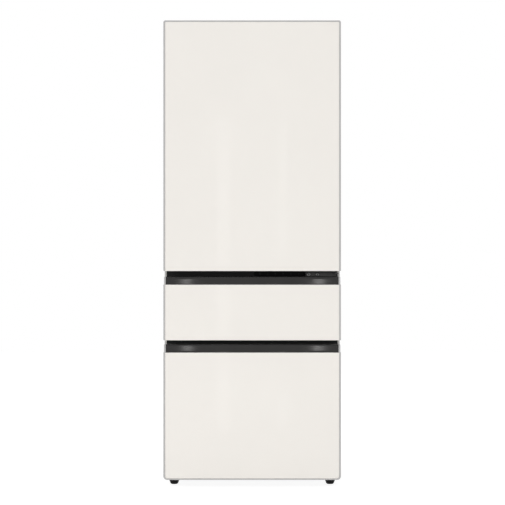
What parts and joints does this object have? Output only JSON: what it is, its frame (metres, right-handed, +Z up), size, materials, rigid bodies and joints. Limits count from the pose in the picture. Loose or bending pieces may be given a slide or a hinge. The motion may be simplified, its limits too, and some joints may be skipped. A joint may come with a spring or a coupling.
{
  "type": "kimchi refrigerator",
  "caption": "Free-standing kimchi refrigerator with a hinged upper door over pull-out drawers that hold lidded containers, on screw feet and rear rollers.",
  "frame": {"origin": "on the floor under the middle of the body", "axes": "+Z up, the front faces -Y, +X to the right seen from the front"},
  "size_m": [0.666, 0.7366, 1.75],
  "materials": {
    "cream_glass": "gloss, painted cream on the back",
    "grey_frame": "satin light grey",
    "dark_aluminium": "dark anodised, brushed along its length",
    "case_paint": "satin light grey",
    "zinc_steel": "zinc coated",
    "dark_paint": "satin charcoal",
    "black_paint": "semi-gloss black",
    "black_gloss": "gloss black",
    "black_plastic": "matte black",
    "white_lining": "white moulded",
    "grey_seal": "soft matte grey",
    "shelf_glass": "clear with a white front trim",
    "clear_plastic": "clear moulded",
    "lamp_diffuser": "milky white",
    "bright_aluminium": "satin",
    "basket_plastic": "light grey moulded",
    "container_plastic": "milky moulded",
    "lid_plastic": "grey moulded",
    "foam": "rigid foam"
  },
  "bodies": {
    "cabinet": {"outer_case": "case_paint", "back_panel": "zinc_steel", "base_pan": "zinc_steel", "insulation_foam": "foam", "upper_lining": "white_lining", "middle_lining": "white_lining", "lower_lining": "white_lining", "upper_cross_rail": "dark_paint", "lower_cross_rail": "dark_paint", "control_display": "black_gloss", "glass_shelf_1": "shelf_glass", "glass_shelf_2": "shelf_glass", "duct_cover": "bright_aluminium", "evaporator": "bright_aluminium", "room_lamp": "lamp_diffuser", "top_hinge": "zinc_steel", "top_hinge_cover": "black_plastic", "middle_hinge": "dark_paint", "middle_slide_left": "zinc_steel", "middle_slide_right": "zinc_steel", "lower_slide_left": "zinc_steel", "lower_slide_right": "zinc_steel", "compressor": "black_paint", "condenser": "bright_aluminium", "fan_shroud": "black_plastic", "machine_cover": "zinc_steel"},
    "upper_door": {"upper_panel": "cream_glass", "upper_door_frame": "grey_frame", "upper_door_lining": "white_lining", "upper_gasket": "grey_seal"},
    "door_bin_1": {"door_bin_1": "clear_plastic"},
    "door_bin_2": {"door_bin_2": "clear_plastic"},
    "middle_drawer": {"middle_panel": "cream_glass", "middle_front_frame": "grey_frame", "middle_handle": "dark_aluminium", "middle_gasket": "grey_seal", "middle_basket": "basket_plastic", "middle_container_left": "container_plastic", "middle_container_right": "container_plastic"},
    "middle_carrier_left": {"middle_carrier_left": "zinc_steel"},
    "middle_carrier_right": {"middle_carrier_right": "zinc_steel"},
    "middle_lid_left": {"middle_lid_left": "lid_plastic"},
    "middle_lid_right": {"middle_lid_right": "lid_plastic"},
    "lower_drawer": {"lower_panel": "cream_glass", "lower_front_frame": "grey_frame", "lower_handle": "dark_aluminium", "lower_gasket": "grey_seal", "lower_basket": "basket_plastic", "lower_container_left": "container_plastic", "lower_container_right": "container_plastic"},
    "lower_carrier_left": {"lower_carrier_left": "zinc_steel"},
    "lower_carrier_right": {"lower_carrier_right": "zinc_steel"},
    "lower_lid_left": {"lower_lid_left": "lid_plastic"},
    "lower_lid_right": {"lower_lid_right": "lid_plastic"},
    "cold_fan": {"cold_fan": "black_plastic"},
    "condenser_fan": {"condenser_fan": "black_plastic"},
    "front_foot_left": {"front_foot_left": "black_plastic"},
    "front_foot_right": {"front_foot_right": "black_plastic"},
    "rear_roller_left": {"rear_roller_left": "black_plastic"},
    "rear_roller_right": {"rear_roller_right": "black_plastic"}
  },
  "joints": [
    {"name": "upper_door_hinge", "type": "hinge", "parent": "cabinet", "child": "upper_door", "pos_m": [0.317, -0.3243, 0.81], "axis": [0, 0, 1], "range_deg": [0, 125]},
    {"name": "middle_drawer_slide", "type": "slide", "parent": "cabinet", "child": "middle_drawer", "axis": [0, -1, 0], "range_m": [0, 0.46]},
    {"name": "lower_drawer_slide", "type": "slide", "parent": "cabinet", "child": "lower_drawer", "axis": [0, -1, 0], "range_m": [0, 0.4]},
    {"name": "middle_carrier_left_slide", "type": "slide", "parent": "cabinet", "child": "middle_carrier_left", "axis": [0, -1, 0], "range_m": [0, 0.23]},
    {"name": "middle_carrier_right_slide", "type": "slide", "parent": "cabinet", "child": "middle_carrier_right", "axis": [0, -1, 0], "range_m": [0, 0.23]},
    {"name": "lower_carrier_left_slide", "type": "slide", "parent": "cabinet", "child": "lower_carrier_left", "axis": [0, -1, 0], "range_m": [0, 0.2]},
    {"name": "lower_carrier_right_slide", "type": "slide", "parent": "cabinet", "child": "lower_carrier_right", "axis": [0, -1, 0], "range_m": [0, 0.2]},
    {"name": "door_bin_1_lift", "type": "slide", "parent": "upper_door", "child": "door_bin_1", "axis": [0, 0, 1], "range_m": [0, 0.02]},
    {"name": "door_bin_2_lift", "type": "slide", "parent": "upper_door", "child": "door_bin_2", "axis": [0, 0, 1], "range_m": [0, 0.02]},
    {"name": "middle_lid_left_lift", "type": "slide", "parent": "middle_drawer", "child": "middle_lid_left", "axis": [0, 0, 1], "range_m": [0, 0.03]},
    {"name": "middle_lid_right_lift", "type": "slide", "parent": "middle_drawer", "child": "middle_lid_right", "axis": [0, 0, 1], "range_m": [0, 0.03]},
    {"name": "lower_lid_left_lift", "type": "slide", "parent": "lower_drawer", "child": "lower_lid_left", "axis": [0, 0, 1], "range_m": [0, 0.03]},
    {"name": "lower_lid_right_lift", "type": "slide", "parent": "lower_drawer", "child": "lower_lid_right", "axis": [0, 0, 1], "range_m": [0, 0.03]},
    {"name": "cold_fan_spin", "type": "hinge", "parent": "cabinet", "child": "cold_fan", "pos_m": [0, 0.2762, 1.202], "axis": [0, 1, 0], "continuous": true},
    {"name": "condenser_fan_spin", "type": "hinge", "parent": "cabinet", "child": "condenser_fan", "pos_m": [0.0174, 0.26155, 0.1428], "axis": [1, 0, 0], "continuous": true},
    {"name": "front_foot_left_turn", "type": "hinge", "parent": "cabinet", "child": "front_foot_left", "pos_m": [-0.296, -0.2637, 0], "axis": [0, 0, 1], "continuous": true},
    {"name": "front_foot_right_turn", "type": "hinge", "parent": "cabinet", "child": "front_foot_right", "pos_m": [0.296, -0.2637, 0], "axis": [0, 0, 1], "continuous": true},
    {"name": "rear_roller_left_roll", "type": "hinge", "parent": "cabinet", "child": "rear_roller_left", "pos_m": [-0.292, 0.3343, 0.018], "axis": [1, 0, 0], "continuous": true},
    {"name": "rear_roller_right_roll", "type": "hinge", "parent": "cabinet", "child": "rear_roller_right", "pos_m": [0.292, 0.3343, 0.018], "axis": [1, 0, 0], "continuous": true}
  ],
  "couplings": [
    {"joint": "middle_carrier_left_slide", "follows": "middle_drawer_slide", "ratio": 0.5},
    {"joint": "middle_carrier_right_slide", "follows": "middle_drawer_slide", "ratio": 0.5},
    {"joint": "lower_carrier_left_slide", "follows": "lower_drawer_slide", "ratio": 0.5},
    {"joint": "lower_carrier_right_slide", "follows": "lower_drawer_slide", "ratio": 0.5}
  ]
}
